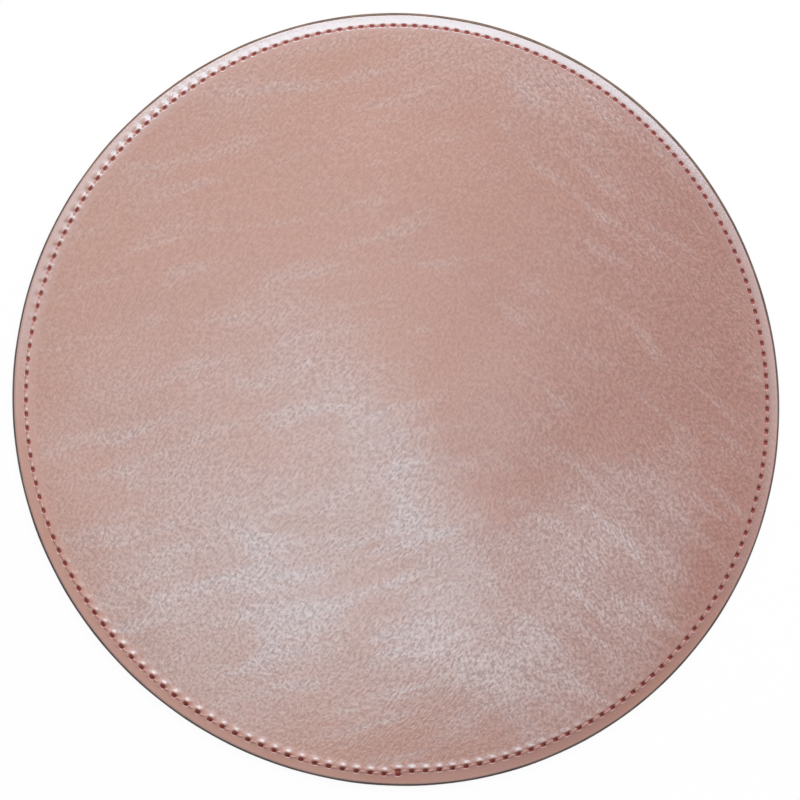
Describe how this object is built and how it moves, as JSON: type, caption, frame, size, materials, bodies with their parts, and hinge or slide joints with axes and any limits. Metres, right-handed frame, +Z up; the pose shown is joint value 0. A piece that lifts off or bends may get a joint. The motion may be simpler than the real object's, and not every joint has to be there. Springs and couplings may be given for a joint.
{
  "type": "mouse pad",
  "caption": "Round flat mouse pad: a pearl-finish leather cover and a non-slip base, glued round a thin foam core, sewn together near the rim and painted along the cut edge.",
  "frame": {"origin": "centre of the underside, on the desk", "axes": "+Z up, out of the work face; +Y to the top of the picture and +X to its right, so the seam's start and finish lie near -Y"},
  "size_m": [0.22, 0.22, 0.0036],
  "materials": {
    "pearl_leather": "fine-grained synthetic leather with a soft pearl sheen",
    "contact_glue": "dried contact glue",
    "foam": "fine-celled sheet foam",
    "grip_rubber": "matt non-slip sheet with a fine texture",
    "edge_paint": "satin edge paint",
    "sewing_thread": "twisted polyester thread with a soft lustre"
  },
  "bodies": {
    "root": {"top_cover": "pearl_leather", "cover_glue_film": "contact_glue", "foam_core": "foam", "base_glue_film": "contact_glue", "base_sheet": "grip_rubber", "rim_bond": "contact_glue", "edge_coat": "edge_paint", "needle_thread": "sewing_thread", "bobbin_thread": "sewing_thread"}
  },
  "joints": []
}
